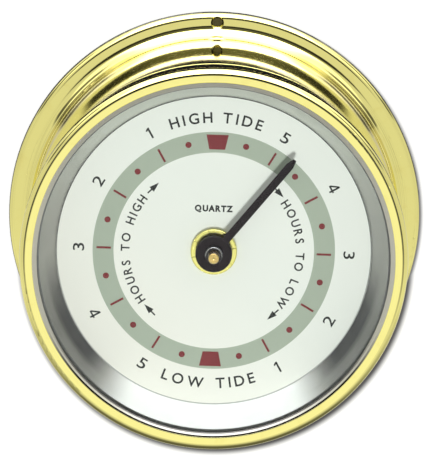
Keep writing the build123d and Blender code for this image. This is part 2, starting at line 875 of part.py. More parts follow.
# Black tide hand: hub disc and straight blade with a blunt point
with BuildPart() as tide_hand:
    turned(
        (
            (tube_r, hub_back),
            (hub_r, hub_back),
            (hub_r, hub_front),
            (tube_r, hub_front),
        ),
        (((hub_r, hub_front), hub_round),),
    )
    blade_back = (hub_back + hub_front) / 2 - blade_t / 2
    with BuildSketch(face_on(blade_back, clockwise=hand_angle)):
        with BuildLine():
            Polyline(
                (-blade_width / 2, 0),
                (blade_width / 2, 0),
                (blade_width / 2, blade_length - blade_tip_run),
                (blade_tip_width / 2, blade_length),
                (-blade_tip_width / 2, blade_length),
                (-blade_width / 2, blade_length - blade_tip_run),
                close=True,
            )
        make_face()
    extrude(amount=blade_t)
    cylinder(tube_r, hub_back - cut_over, hub_front + cut_over, mode=Mode.SUBTRACT)
tide_hand.part.label = "tide_hand"
export_step(tide_hand.part, "parts/tide_hand.step")

# Collar pressed on the tube in front of the hand
with BuildPart() as hand_bush:
    turned(
        (
            (tube_r, hub_front),
            (bush_r, hub_front),
            (bush_r, bush_front),
            (arbor_r + 2 * tube_clearance, bush_front),
            (arbor_r + 2 * tube_clearance, tube_front),
            (tube_r, tube_front),
        ),
        (((bush_r, bush_front), bush_round),),
    )
hand_bush.part.label = "hand_bush"
export_step(hand_bush.part, "parts/hand_bush.step")

# Setting shaft with the pinion that turns the tide wheel
with BuildPart() as setting_pinion:
    cylinder(setting_shaft_r, knob_front, tide_wheel_back, setting_place)
    gear(
        setting_teeth,
        setting_module,
        opposite(centre_to_setting_angle, setting_teeth),
        tide_wheel_back,
        tide_wheel_front,
        setting_place,
    )
    cylinder(staff_r, tide_wheel_front, wall_inside + pivot_length / 2, setting_place)
setting_pinion.part.label = "setting_pinion"
export_step(setting_pinion.part, "parts/setting_pinion.step")

# Notched setting knob behind the movement
with BuildPart() as setting_knob:
    knob_back = knob_front - knob_t
    cylinder(knob_r, knob_back, knob_front, setting_place)
    fillet(setting_knob.edges().filter_by(GeomType.CIRCLE).group_by(Axis.Y)[-1], knob_round)
    with BuildSketch(face_on(knob_back - cut_over, setting_place)):
        with PolarLocations(knob_r, knob_notch_count):
            Circle(knob_notch_r)
    extrude(amount=knob_t + 2 * cut_over, mode=Mode.SUBTRACT)
    with BuildSketch(face_on(knob_back, setting_place)):
        Triangle(a=knob_r, b=knob_r, c=knob_r)
    extrude(amount=knob_arrow_depth, mode=Mode.SUBTRACT)
setting_knob.part.label = "setting_knob"
export_step(setting_knob.part, "parts/setting_knob.step")

# AA cell lying across the battery bay
battery_end_x = inner_half - contact_t
battery_start_x = battery_end_x - battery_length
battery_line = Plane(origin=(battery_start_x, -battery_depth, battery_z), x_dir=(0, 1, 0), z_dir=(1, 0, 0))
with BuildPart() as battery:
    with BuildSketch(battery_line):
        Circle(battery_r)
    extrude(amount=battery_length - battery_nub_length)
    fillet(battery.edges().filter_by(GeomType.CIRCLE), battery_round)
    with BuildSketch(battery_line.offset(battery_length - battery_nub_length)):
        Circle(battery_nub_r)
    extrude(amount=battery_nub_length)
battery.part.label = "battery"
export_step(battery.part, "parts/battery.step")

# Positive contact against the end wall of the bay
contact_low = battery_z - contact_width / 2
contact_high = battery_z + contact_width / 2
contact_back = battery_depth - contact_height / 2
contact_front = battery_depth + contact_height / 2
with BuildPart() as positive_contact:
    block(battery_end_x, inner_half, contact_low, contact_high, contact_back, contact_front)
positive_contact.part.label = "positive_contact"
export_step(positive_contact.part, "parts/positive_contact.step")

# Negative contact with a bent leaf that presses on the cell
with BuildPart() as negative_contact:
    block(-inner_half, -inner_half + contact_t, contact_low, contact_high, contact_back, contact_front)
    leaf_root_x = -inner_half + contact_t
    with BuildSketch(Plane.XY.offset(contact_low)):
        with BuildLine():
            Polyline(
                (leaf_root_x, -contact_back),
                (leaf_root_x, -contact_back - spring_leaf_t),
                (battery_start_x - spring_leaf_t, -battery_depth),
                (leaf_root_x, -contact_front + spring_leaf_t),
                (leaf_root_x, -contact_front),
                (battery_start_x, -battery_depth - spring_leaf_t),
                (battery_start_x, -battery_depth + spring_leaf_t),
                close=True,
            )
        make_face()
    extrude(amount=contact_width)
negative_contact.part.label = "negative_contact"
export_step(negative_contact.part, "parts/negative_contact.step")
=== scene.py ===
"""Dresses the tide clock: finishes, dial printing, wall, lights and camera, in metres."""

import json
import math

import bmesh
import bpy
from mathutils import Matrix, Vector

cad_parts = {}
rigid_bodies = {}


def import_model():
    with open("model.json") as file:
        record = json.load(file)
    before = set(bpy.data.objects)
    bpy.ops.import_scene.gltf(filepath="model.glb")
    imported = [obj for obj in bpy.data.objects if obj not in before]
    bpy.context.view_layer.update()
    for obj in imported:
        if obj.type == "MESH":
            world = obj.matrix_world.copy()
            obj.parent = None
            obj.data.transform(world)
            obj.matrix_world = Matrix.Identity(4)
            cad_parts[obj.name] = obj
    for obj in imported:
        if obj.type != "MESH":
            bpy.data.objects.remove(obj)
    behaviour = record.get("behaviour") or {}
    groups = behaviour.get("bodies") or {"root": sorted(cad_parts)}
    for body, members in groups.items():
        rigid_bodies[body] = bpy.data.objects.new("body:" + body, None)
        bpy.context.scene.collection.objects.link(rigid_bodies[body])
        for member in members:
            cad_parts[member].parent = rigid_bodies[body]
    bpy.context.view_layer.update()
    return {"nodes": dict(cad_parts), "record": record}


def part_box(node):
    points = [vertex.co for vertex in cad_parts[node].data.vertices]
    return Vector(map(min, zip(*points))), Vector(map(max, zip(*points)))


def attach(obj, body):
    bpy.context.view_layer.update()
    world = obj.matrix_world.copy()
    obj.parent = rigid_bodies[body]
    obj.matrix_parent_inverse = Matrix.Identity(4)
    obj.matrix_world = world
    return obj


for thing in list(bpy.data.objects):
    bpy.data.objects.remove(thing)
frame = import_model()

MM = 0.001
DEGREES = 180 / math.pi
FRONT = Vector((0, -1, 0))

# Places on the solids: radii from the dial's axis, and distances in front of the wall
FLANGE_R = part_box("wall_flange")[1].x
BEAD_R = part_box("bezel")[1].x
BEAD_FRONT = -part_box("bezel")[0].y
LENS_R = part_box("lens")[1].x
LENS_BACK = -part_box("lens")[1].y
DIAL_FACE = -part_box("dial_plate")[0].y
BUSH_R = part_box("hand_bush")[1].x
CELL_END = -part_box("battery")[0].x
SCREWS = next(mount["dims"] for mount in frame["record"]["mounts"] if mount["name"] == "wall_screws")
SCREW_CIRCLE_R = SCREWS["pcd_mm"] / 2 * MM
# Where the bezel's rounded bead starts, outside its flat front
CORNER_R = BEAD_R - 1.95 * MM


class Signal:
    """One number that varies over a surface. Arithmetic on signals adds the Math nodes for it."""

    def __init__(self, sheet, socket):
        self.sheet = sheet
        self.socket = socket

    def __add__(self, other):
        return self.sheet.maths("ADD", self, other)

    def __sub__(self, other):
        return self.sheet.maths("SUBTRACT", self, other)

    def __rsub__(self, other):
        return self.sheet.maths("SUBTRACT", other, self)

    def __mul__(self, other):
        return self.sheet.maths("MULTIPLY", self, other)

    def __truediv__(self, other):
        return self.sheet.maths("DIVIDE", self, other)

    def __pow__(self, other):
        return self.sheet.maths("POWER", self, other)

    def __neg__(self):
        return self.sheet.maths("MULTIPLY", self, -1)

    def __abs__(self):
        return self.sheet.maths("ABSOLUTE", self)

    __radd__ = __add__
    __rmul__ = __mul__


class Sheet:
    """The node tree of one finish or of the world."""

    def __init__(self, tree):
        self.tree = tree
        tree.nodes.clear()

    def node(self, kind, settings=None, values=None):
        """Add a node, with its settings first and then the values or links of its sockets."""
        made = self.tree.nodes.new(kind)
        for name, setting in (settings or {}).items():
            if name == "stops":
                self.set_stops(made.color_ramp.elements, setting)
            else:
                setattr(made, name, setting)
        for name, value in (values or {}).items():
            value = getattr(value, "socket", value)
            if isinstance(value, bpy.types.NodeSocket):
                self.tree.links.new(value, made.inputs[name])
            else:
                made.inputs[name].default_value = value
        return made

    @staticmethod
    def set_stops(elements, stops):
        while len(elements) < len(stops):
            elements.new(1.0)
        for element, (position, colour) in zip(elements, stops):
            element.position = position
            element.color = (*colour, 1.0)

    def number(self, made, output=0):
        return Signal(self, made.outputs[output])

    def maths(self, operation, *terms):
        return self.number(self.node("ShaderNodeMath", {"operation": operation}, dict(enumerate(terms))))

    def place(self):
        """Give the point of the surface, in metres."""
        return self.node("ShaderNodeTexCoord").outputs["Object"]

    def parts(self, vector):
        """Give the three numbers of a vector."""
        split = self.node("ShaderNodeSeparateXYZ", values={0: vector})
        return [self.number(split, axis) for axis in range(3)]

    def radius(self):
        """Give the distance of the point from the dial's axis."""
        x, _, z = self.parts(self.place())
        return (x * x + z * z) ** 0.5

    def vector(self, x, y, z):
        return self.node("ShaderNodeCombineXYZ", values={0: x, 1: y, 2: z}).outputs[0]

    def rise(self, value, low, high):
        """Go smoothly from 0 where the value is low to 1 where it is high."""
        values = {"Value": value, "From Min": low, "From Max": high}
        return self.number(self.node("ShaderNodeMapRange", {"interpolation_type": "SMOOTHSTEP"}, values))

    def fall(self, value, low, high):
        """Go smoothly from 1 where the value is low to 0 where it is high."""
        return 1 - self.rise(value, low, high)

    def noise(self, place, scale, detail=2.0, distortion=0.0):
        values = {"Vector": place, "Scale": scale, "Detail": detail, "Distortion": distortion}
        return self.number(self.node("ShaderNodeTexNoise", values=values))

    def mix(self, factor, first, second):
        """Give the colour that goes from the first to the second as the factor goes from 0 to 1."""
        values = {0: factor, 6: first, 7: second}
        return self.node("ShaderNodeMix", {"data_type": "RGBA"}, values).outputs[2]

    def bump(self, height, depth):
        return self.node("ShaderNodeBump", values={"Height": height, "Distance": depth}).outputs[0]

    def round_place(self, rings, turns):
        """Give a place that runs fast across the radius and slowly round the dial's axis."""
        x, y, z = self.parts(self.place())
        angle = self.maths("ARCTAN2", z, x)
        sine = self.maths("SINE", angle) * turns
        cosine = self.maths("COSINE", angle) * turns
        return self.vector(self.radius() * rings, sine, cosine + y * rings)


def paint(*colour):
    return (*colour, 1.0)


finishes = {}

# The dark and light tones of blackened steel, which two finishes share
BLACKENED_DARK = (0.030, 0.028, 0.030)
BLACKENED_LIGHT = (0.075, 0.070, 0.072)


def new_finish(name, shader):
    """Make a finish from a function that adds its last shader node to the sheet."""
    material = bpy.data.materials.new(name)
    material.use_nodes = True
    sheet = Sheet(material.node_tree)
    sheet.node("ShaderNodeOutputMaterial", values={"Surface": shader(sheet).outputs[0]})
    finishes[name] = material


def solid_finish(name, values):
    """Make a finish from a function that gives the values of the main shader's sockets."""
    new_finish(name, lambda sheet: sheet.node("ShaderNodeBsdfPrincipled", values=values(sheet)))


def polished_brass(sheet):
    """Lacquered mirror polish with buffing waves and lathe rings, and painted reflections and shade at the
    rims.
    """
    place = sheet.place()
    _, y, z = sheet.parts(place)
    radius = sheet.radius()
    waves = sheet.noise(place, 45, 1.0)
    rings = sheet.noise(sheet.round_place(5200, 3.0), 1.0)
    tarnish = sheet.rise(sheet.noise(place, 160, 4.0, 0.4), 0.52, 0.78)
    clean = sheet.mix(tarnish * 0.5, paint(0.965, 0.89, 0.30), paint(0.91, 0.80, 0.25))
    # Painted dark reflection: the flange's rim is coloured dark as a thin outline
    rim_dark_reflection = sheet.rise(radius, FLANGE_R - 0.53 * MM, FLANGE_R - 0.20 * MM)
    lacquered = sheet.mix(rim_dark_reflection * 0.92, clean, paint(0.06, 0.058, 0.045))
    # A painted dark reflection: a thin dark line round the bezel where its bead starts, fading out low down
    line = sheet.rise(radius, CORNER_R - 0.40 * MM, CORNER_R - 0.20 * MM)
    line = line * sheet.fall(radius, CORNER_R + 0.20 * MM, CORNER_R + 0.40 * MM)
    line = line * sheet.rise(-y, BEAD_FRONT - 0.8 * MM, BEAD_FRONT - 0.5 * MM)
    line = line * sheet.rise(z, -40 * MM, 20 * MM)
    turned = sheet.mix(line * 0.9, lacquered, paint(0.03, 0.03, 0.012))
    # The bezel's edge over the glass is painted grey, less metallic and rougher, as a painted reflection; in
    # its lower half it has painted shade inside and a black painted shade line outside
    lip_edge = sheet.fall(radius, LENS_R - 0.7 * MM, LENS_R - 0.4 * MM)
    lip_edge = lip_edge * sheet.rise(-y, LENS_BACK - 0.1 * MM, LENS_BACK + 0.2 * MM)
    low = sheet.rise(-z, 22 * MM, 48 * MM)
    outer_lip_shade = sheet.rise(radius, LENS_R - 1.30 * MM, LENS_R - 1.15 * MM) * lip_edge * low
    shaded = sheet.fall(radius, LENS_R - 1.95 * MM, LENS_R - 1.80 * MM) * lip_edge * low
    bright = sheet.mix(shaded * 0.85, paint(0.56, 0.55, 0.45), paint(0.05, 0.045, 0.042))
    edge = sheet.mix(outer_lip_shade, bright, paint(0.004, 0.0035, 0.002))
    return {
        "Base Color": sheet.mix(lip_edge, turned, edge),
        "Metallic": 1.0 - lip_edge * (1 - outer_lip_shade) * 0.45,
        "Roughness": 0.035 + rings * 0.03 + tarnish * 0.04 + lip_edge * 0.26,
        "Coat Weight": (0.30 - tarnish * 0.15) * (1 - lip_edge) * (1 - rim_dark_reflection),
        "Coat Roughness": 0.03,
        "Normal": sheet.bump(waves * 0.8 + rings * 0.05, 0.018 * MM),
    }


def turned_brass(sheet):
    """Bright brass with the fine rings of the lathe tool."""
    rings = sheet.noise(sheet.round_place(9000, 2.0), 1.0, 3.0)
    dust = sheet.noise(sheet.place(), 900, 3.0)
    return {
        "Base Color": sheet.mix(rings, paint(1.0, 0.93, 0.31), paint(0.93, 0.84, 0.25)),
        "Metallic": 0.9 + dust * 0.1,
        "Roughness": 0.08 + rings * 0.10 + dust * 0.04,
        "Normal": sheet.bump(rings, 0.012 * MM),
    }


def bush_steel(sheet):
    """Blackened bush with a painted glint on its turned front edge in its upper half."""
    place = sheet.place()
    radius = sheet.radius()
    upper = sheet.rise(sheet.parts(place)[2], -1.4 * MM, 1.0 * MM)
    # Painted glint: the front edge is painted light grey in the upper half
    painted_glint = sheet.rise(radius, BUSH_R - 0.50 * MM, BUSH_R - 0.40 * MM)
    painted_glint = painted_glint * sheet.fall(radius, BUSH_R - 0.15 * MM, BUSH_R - 0.03 * MM)
    stains = sheet.noise(place, 900, 3.0)
    blackened = sheet.mix(stains, paint(*BLACKENED_DARK), paint(*BLACKENED_LIGHT))
    return {
        "Base Color": sheet.mix(painted_glint * upper * 0.65, blackened, paint(0.62, 0.62, 0.60)),
        "Metallic": 1.0,
        "Roughness": 0.28 + stains * 0.10 - painted_glint * 0.06,
        "Normal": sheet.bump(stains, 0.004 * MM),
    }


def arbor_brass(sheet):
    """Darker golden brass of the centre pin, turned, with a dull film."""
    film = sheet.noise(sheet.place(), 1400, 3.0)
    rings = sheet.noise(sheet.round_place(9000, 2.0), 1.0)
    return {
        "Base Color": sheet.mix(film, paint(0.90, 0.68, 0.27), paint(0.72, 0.49, 0.15)),
        "Metallic": 1.0,
        "Roughness": 0.20 + film * 0.10,
        "Normal": sheet.bump(rings, 0.01 * MM),
    }


def polished_steel(sheet):
    """Bright spun cone: fine lines round it, faint smears, and painted light and shade by the angle round it.
    """
    place = sheet.place()
    x, _, z = sheet.parts(place)
    spun = sheet.noise(sheet.round_place(7000, 4.0), 1.0, 3.0)
    smears = sheet.noise(place, 120, 3.0, 0.8)
    # Painted light and shade by the angle from the lowest point to either side: a white painted highlight low
    # down, less metallic so its own lamp lights it, painted dark reflections low at the sides, and the sides
    # darker than the top
    from_low = sheet.maths("ARCTAN2", abs(x), -z) * DEGREES
    bright = sheet.fall(from_low, 28.0, 44.0)
    dark_reflection_sectors = sheet.rise(from_low, 38.0, 51.0) * sheet.fall(from_low, 66.0, 94.0)
    # The painted dark reflections are lighter towards the glass, with an uneven edge
    uneven = (sheet.noise(sheet.round_place(1500, 0.6), 1.0, 1.0) - 0.5) * 1.6 * MM
    outer = sheet.rise(sheet.radius() + uneven, LENS_R - 6.5 * MM, LENS_R - 4.5 * MM)
    grey = sheet.mix(sheet.rise(from_low, 95.0, 150.0), paint(0.44, 0.435, 0.415), paint(0.70, 0.715, 0.66))
    plain = sheet.mix(bright, grey, paint(0.97, 0.98, 0.97))
    darkened = dark_reflection_sectors * (0.92 - outer * 0.5) + (smears - 0.5) * 0.2
    return {
        "Base Color": sheet.mix(darkened, plain, paint(0.055, 0.055, 0.06)),
        "Metallic": 1.0 - bright * 0.6,
        "Roughness": 0.36 + spun * 0.06 + smears * 0.06,
        "Normal": sheet.bump(spun, 0.02 * MM),
    }


def white_enamel(sheet):
    """Satin white dial paint, a little green, warmer low on the left, with a very fine grain."""
    place = sheet.place()
    x, _, z = sheet.parts(place)
    low_left = sheet.rise(-x - z, -20 * MM, 90 * MM)
    cloud = sheet.noise(place, 38)
    grain = sheet.noise(place, 4200)
    clean = sheet.mix(cloud, paint(0.85, 0.88, 0.83), paint(0.89, 0.91, 0.86))
    return {
        "Base Color": sheet.mix(low_left * 0.6, clean, paint(0.91, 0.88, 0.80)),
        "Roughness": 0.34 + grain * 0.10,
        "Normal": sheet.bump(grain, 0.004 * MM),
    }


def black_enamel(sheet):
    """Matt black paint of the hand, clouded faintly brown and purple, with a fine grain."""
    place = sheet.place()
    grain = sheet.noise(place, 2600, 3.0)
    cloud = sheet.noise(place, 260)
    return {
        "Base Color": sheet.mix(cloud, paint(0.005, 0.002, 0.004), paint(0.011, 0.006, 0.008)),
        "Specular IOR Level": 0.25,
        "Roughness": 0.42 + grain * 0.16,
        "Normal": sheet.bump(grain, 0.012 * MM),
    }


def black_rubber(sheet):
    """Dull grey-black rubber with a fine bloom."""
    bloom = sheet.noise(sheet.place(), 700, 4.0)
    return {
        "Base Color": sheet.mix(bloom, paint(0.15, 0.155, 0.15), paint(0.23, 0.235, 0.23)),
        "Roughness": 0.62 + bloom * 0.2,
        "Normal": sheet.bump(bloom, 0.04 * MM),
    }


def moulded(dark, light, pit, low_gloss):
    """Make the rule for a moulded plastic: spark-eroded grain and slight flow clouds."""

    def values(sheet):
        place = sheet.place()
        grain = sheet.noise(place, 2400)
        flow = sheet.noise(place, 55, distortion=0.6)
        return {
            "Base Color": sheet.mix(flow, paint(*dark), paint(*light)),
            "Roughness": low_gloss + grain * 0.14,
            "Normal": sheet.bump(grain, pit),
        }

    return values


def plated_steel(dark, light, low_gloss):
    """Make the rule for small steel pieces: brushed lines along the depth and fine stains."""

    def values(sheet):
        place = sheet.place()
        x, y, z = sheet.parts(place)
        lines = sheet.noise(sheet.vector(x * 6000, y * 260, z * 6000), 1.0)
        stains = sheet.noise(place, 420, 4.0)
        return {
            "Base Color": sheet.mix(stains, paint(*dark), paint(*light)),
            "Metallic": 1.0,
            "Roughness": low_gloss + lines * 0.14,
            "Normal": sheet.bump(lines, 0.008 * MM),
        }

    return values


def magnet_grey(sheet):
    """Sintered magnet: dark grey grains with a weak gloss."""
    grains = sheet.noise(sheet.place(), 3200, 4.0)
    return {
        "Base Color": sheet.mix(grains, paint(0.05, 0.05, 0.055), paint(0.16, 0.16, 0.17)),
        "Metallic": 0.6,
        "Roughness": 0.45 + grains * 0.2,
        "Normal": sheet.bump(grains, 0.02 * MM),
    }


def copper_wire(sheet):
    """Varnished winding: fine turns stacked along the coil, with a few crossing strands."""
    x, y, z = sheet.parts(sheet.place())
    turns = sheet.maths("SINE", z * 42000)
    strands = sheet.noise(sheet.vector(x * 90, y * 90, z * 2600), 1.0)
    return {
        "Base Color": sheet.mix(strands, paint(0.62, 0.24, 0.09), paint(0.80, 0.38, 0.16)),
        "Metallic": 0.9,
        "Roughness": 0.24 + strands * 0.12,
        "Coat Weight": 0.4 + strands * 0.2,
        "Normal": sheet.bump(turns * 0.5 + strands * 0.5, 0.04 * MM),
    }


def board_green(sheet):
    """Green lacquer over copper tracks that run square to each other."""
    place = sheet.place()
    x, _, z = sheet.parts(place)
    grid = sheet.vector(sheet.maths("ROUND", x * 900), 0.0, sheet.maths("ROUND", z * 900))
    copper = sheet.rise(sheet.noise(grid, 0.37, 1.0), 0.53, 0.56)
    weave = sheet.noise(place, 1800)
    return {
        "Base Color": sheet.mix(copper, paint(0.012, 0.085, 0.030), paint(0.045, 0.21, 0.070)),
        "Roughness": 0.28 + weave * 0.1,
        "Coat Weight": 0.3 + copper * 0.2,
        "Normal": sheet.bump(copper + weave * 0.2, 0.03 * MM),
    }


def cell_jacket(sheet):
    """Printed sleeve of the cell: dark blue body, copper coloured band at one end, bare steel ends."""
    place = sheet.place()
    x = sheet.parts(place)[0]
    band = sheet.rise(x, 11.0 * MM, 11.2 * MM)
    ends = sheet.rise(abs(x), CELL_END - 0.2 * MM, CELL_END - 0.1 * MM)
    scuffs = sheet.noise(place, 500, 4.0)
    body = sheet.mix(scuffs, paint(0.012, 0.030, 0.085), paint(0.022, 0.045, 0.115))
    printed = sheet.mix(band, body, paint(0.62, 0.33, 0.14))
    return {
        "Base Color": sheet.mix(ends, printed, paint(0.60, 0.60, 0.58)),
        "Metallic": sheet.maths("MAXIMUM", ends, band * 0.8),
        "Roughness": 0.22 + scuffs * 0.12,
        "Coat Weight": 0.5 - ends * 0.5,
        "Normal": sheet.bump(scuffs, 0.01 * MM),
    }


def edge_shadow_paint(sheet):
    """Painted shadow: a fine dark line at the dial's rim, darkest at the top and pale towards the bottom."""
    place = sheet.place()
    grain = sheet.noise(place, 5200)
    # The painted shadow fades from dark at the top to pale at the bottom
    pale_low = sheet.fall(sheet.parts(place)[2], -45 * MM, 30 * MM)
    return {
        "Base Color": sheet.mix(pale_low + grain * 0.1, paint(0.050, 0.055, 0.050), paint(0.42, 0.43, 0.41)),
        "Roughness": 0.36 + grain * 0.12,
        "Normal": sheet.bump(grain, 0.004 * MM),
    }


def ink(dark, light):
    """Make the rule for screen printed ink: slightly uneven cover and a satin face."""

    def values(sheet):
        place = sheet.place()
        cover = sheet.noise(place, 420, 3.0)
        grain = sheet.noise(place, 5200)
        return {
            "Base Color": sheet.mix(cover, paint(*dark), paint(*light)),
            "Roughness": 0.36 + grain * 0.12,
            "Normal": sheet.bump(grain, 0.004 * MM),
        }

    return values


def clear_glass(sheet):
    """Flat glass: clear, with a mirror share that grows at a slant and faint wiping marks."""
    wiping = sheet.noise(sheet.place(), 90, 3.0, 1.2)
    slant = sheet.number(sheet.node("ShaderNodeFresnel", values={"IOR": 1.5}))
    clear = sheet.node("ShaderNodeBsdfTransparent", values={"Color": paint(0.985, 0.995, 0.985)})
    mirror = sheet.node("ShaderNodeBsdfGlossy", values={"Color": paint(1, 1, 1), "Roughness": wiping * 0.03})
    share = slant * (0.20 + wiping * 0.06)
    return sheet.node("ShaderNodeMixShader", values={0: share, 1: clear.outputs[0], 2: mirror.outputs[0]})


SOLID_FINISHES = {
    "polished_brass": polished_brass,
    "turned_brass": turned_brass,
    "arbor_brass": arbor_brass,
    "polished_steel": polished_steel,
    "bush_steel": bush_steel,
    "dark_steel": plated_steel(BLACKENED_DARK, BLACKENED_LIGHT, 0.24),
    "bright_steel": plated_steel((0.52, 0.52, 0.51), (0.68, 0.68, 0.67), 0.20),
    "white_enamel": white_enamel,
    "black_enamel": black_enamel,
    "black_rubber": black_rubber,
    "black_plastic": moulded((0.018, 0.018, 0.020), (0.032, 0.032, 0.035), 0.03 * MM, 0.38),
    "white_plastic": moulded((0.70, 0.70, 0.66), (0.78, 0.78, 0.75), 0.01 * MM, 0.30),
    "magnet_grey": magnet_grey,
    "copper_wire": copper_wire,
    "board_green": board_green,
    "cell_jacket": cell_jacket,
    "black_ink": ink((0.004, 0.006, 0.005), (0.012, 0.015, 0.013)),
    "sage_ink": ink((0.385, 0.445, 0.36), (0.425, 0.485, 0.395)),
    "red_ink": ink((0.17, 0.018, 0.024), (0.23, 0.028, 0.032)),
    "edge_shadow_paint": edge_shadow_paint,
}
for name, values in SOLID_FINISHES.items():
    solid_finish(name, values)
new_finish("clear_glass", clear_glass)

# The record's slots, and finishes of their own for the two small pieces at the dial's centre
OWN_FINISHES = {"centre_arbor": "arbor_brass", "hand_bush": "bush_steel"}
for row in frame["record"]["subparts"]:
    slots = frame["nodes"][row["node"]].data.materials
    slots.clear()
    slots.append(finishes[OWN_FINISHES.get(row["node"], row["material_slot"])])


def new_piece(name, shape, finish, body="clock_case"):
    """Make an object from a bmesh, which rides on a body if one is named."""
    mesh = bpy.data.meshes.new(name)
    shape.to_mesh(mesh)
    shape.free()
    mesh.materials.append(finishes[finish])
    piece = bpy.data.objects.new(name, mesh)
    bpy.context.scene.collection.objects.link(piece)
    if body:
        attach(piece, body)
    return piece


# The print on the dial: everything is turned a little clockwise, as the real plate sits
PRINT_TURN = 1.0
INK = 0.02 * MM


def on_dial(angle, radius, bases_out=False):
    """Give the frame of a printed mark: x along the print, y to its top, z towards the viewer."""
    turn = math.radians(angle + PRINT_TURN)
    outward = Vector((math.sin(turn), 0, math.cos(turn)))
    along = Vector((math.cos(turn), 0, -math.sin(turn)))
    spot = outward * radius + FRONT * DIAL_FACE
    if bases_out:
        outward = -outward
        along = -along
    place = Matrix((along, outward, FRONT)).transposed().to_4x4()
    place.translation = spot
    return place


def add_plate(shape, loops, matrix, low, high):
    """Add a thin closed plate from its outline, anticlockwise as the viewer sees it, and its holes."""
    flat = bmesh.new()
    edges = []
    for loop in loops:
        points = [flat.verts.new((x, y, low)) for x, y in loop]
        edges += [flat.edges.new((point, points[place - 1])) for place, point in enumerate(points)]
    bmesh.ops.triangle_fill(flat, use_beauty=True, edges=edges, normal=(0, 0, -1))
    raised = bmesh.ops.extrude_face_region(flat, geom=flat.faces[:], use_keep_orig=True)
    tops = [item for item in raised["geom"] if isinstance(item, bmesh.types.BMVert)]
    bmesh.ops.translate(flat, verts=tops, vec=(0, 0, high - low))
    bmesh.ops.recalc_face_normals(flat, faces=flat.faces)
    bmesh.ops.transform(flat, matrix=matrix, verts=flat.verts)
    mesh = bpy.data.meshes.new("plate")
    flat.to_mesh(mesh)
    flat.free()
    shape.from_mesh(mesh)
    bpy.data.meshes.remove(mesh)


# Two figures are drawn here, on a height of one; the built-in lettering has the others
DRAWN_FIGURES = {
    "1": [[(0.01, -0.5), (0.17, -0.5), (0.17, 0.5), (0.05, 0.5), (-0.21, 0.32), (-0.13, 0.20), (0.01, 0.30)]],
    "4": [
        [
            (0.07, -0.5), (0.22, -0.5), (0.22, -0.29), (0.34, -0.29), (0.34, -0.15), (0.22, -0.15),
            (0.22, 0.5), (0.07, 0.5), (-0.36, -0.13), (-0.36, -0.29), (0.07, -0.29),
        ],
        [(0.07, -0.15), (-0.20, -0.15), (0.07, 0.26)],
    ],
}
# The share of the built-in lettering's size that a capital is high
CAP_SHARE = 0.729

# Lettering styles: height, thickening of the strokes, and stretch along the line
NUMERALS = (4.5 * MM, 0.045 * MM, 1.28)
TIDE_LETTERS = (4.3 * MM, 0.09 * MM, 1.0)
HOUR_LETTERS = (3.45 * MM, 0.09 * MM, 0.93)
MOVEMENT_LETTERS = (2.4 * MM, 0.165 * MM, 0.94)


def letter_mesh(letter, style):
    """Give a letter as a thin closed mesh on its base line, unstretched, with its left and right ends."""
    height, thickening, _ = style
    curve = bpy.data.curves.new("letter", "FONT")
    curve.body = letter
    curve.size = height / CAP_SHARE
    curve.extrude = INK
    curve.offset = thickening
    curve.resolution_u = 4
    holder = bpy.data.objects.new("letter", curve)
    mesh = bpy.data.meshes.new_from_object(holder)
    bpy.data.objects.remove(holder)
    bpy.data.curves.remove(curve)
    across = [vertex.co.x for vertex in mesh.vertices]
    return mesh, min(across), max(across)


def letter_width(letter, style):
    mesh, left, right = letter_mesh(letter, style)
    bpy.data.meshes.remove(mesh)
    return (right - left) * style[2]


def add_letter(shape, letter, style, matrix):
    """Add one printed letter, centred on the matrix, as a thin closed solid."""
    height, _, stretch = style
    if letter in DRAWN_FIGURES:
        loops = [[(x * height, y * height) for x, y in loop] for loop in DRAWN_FIGURES[letter]]
        add_plate(shape, loops, matrix, -INK, INK)
        return
    mesh, left, right = letter_mesh(letter, style)
    centred = Matrix.Translation((-(left + right) / 2, -height / 2, 0))
    mesh.transform(matrix @ Matrix.Diagonal((stretch, 1, 1, 1)) @ centred)
    shape.from_mesh(mesh)
    bpy.data.meshes.remove(mesh)


def add_word(shape, word, style, radius, start, end, space=0.45, bases_out=False):
    """Print a word round the dial, its first and last letters centred at the two clock angles."""
    widths = [space * style[0] if letter == " " else letter_width(letter, style) for letter in word]
    reach = math.radians(abs(end - start)) * radius
    taken = sum(widths) - (widths[0] + widths[-1]) / 2
    gap = (reach - taken) / (len(word) - 1)
    way = 1 if end > start else -1
    along = 0.0
    for place, letter in enumerate(word):
        if place:
            along += widths[place - 1] / 2 + gap + widths[place] / 2
        if letter != " ":
            angle = start + way * math.degrees(along / radius)
            add_letter(shape, letter, style, on_dial(angle, radius, bases_out))


# The hours run from 5 down to 1 after each tide, and those near the bottom stand upright
NUMERAL_RADIUS = 52.6 * MM
HOUR_STEP = 30
numerals = bmesh.new()
for tide in (0, 180):
    for hour in range(1, 6):
        angle = tide + HOUR_STEP * hour
        matrix = on_dial(angle, NUMERAL_RADIUS, bases_out=90 < angle < 270)
        add_letter(numerals, str(6 - hour), NUMERALS, matrix)
new_piece("dial_numerals", numerals, "black_ink")

# Each word has its radius and the clock angles of its first and last letters
tide_words = bmesh.new()
add_word(tide_words, "HIGH TIDE", TIDE_LETTERS, 52.8 * MM, -18.7, 17.7, space=0.2)
add_word(tide_words, "LOW TIDE", TIDE_LETTERS, 52.6 * MM, 199.1, 162.1, space=0.4, bases_out=True)
new_piece("tide_words", tide_words, "black_ink")

hour_words = bmesh.new()
add_word(hour_words, "HOURS TO LOW", HOUR_LETTERS, 33.6 * MM, 54.6, 125.6)
add_word(hour_words, "HOURS TO HIGH", HOUR_LETTERS, 34.5 * MM, 234.4, 304.6)
new_piece("hour_words", hour_words, "black_ink")

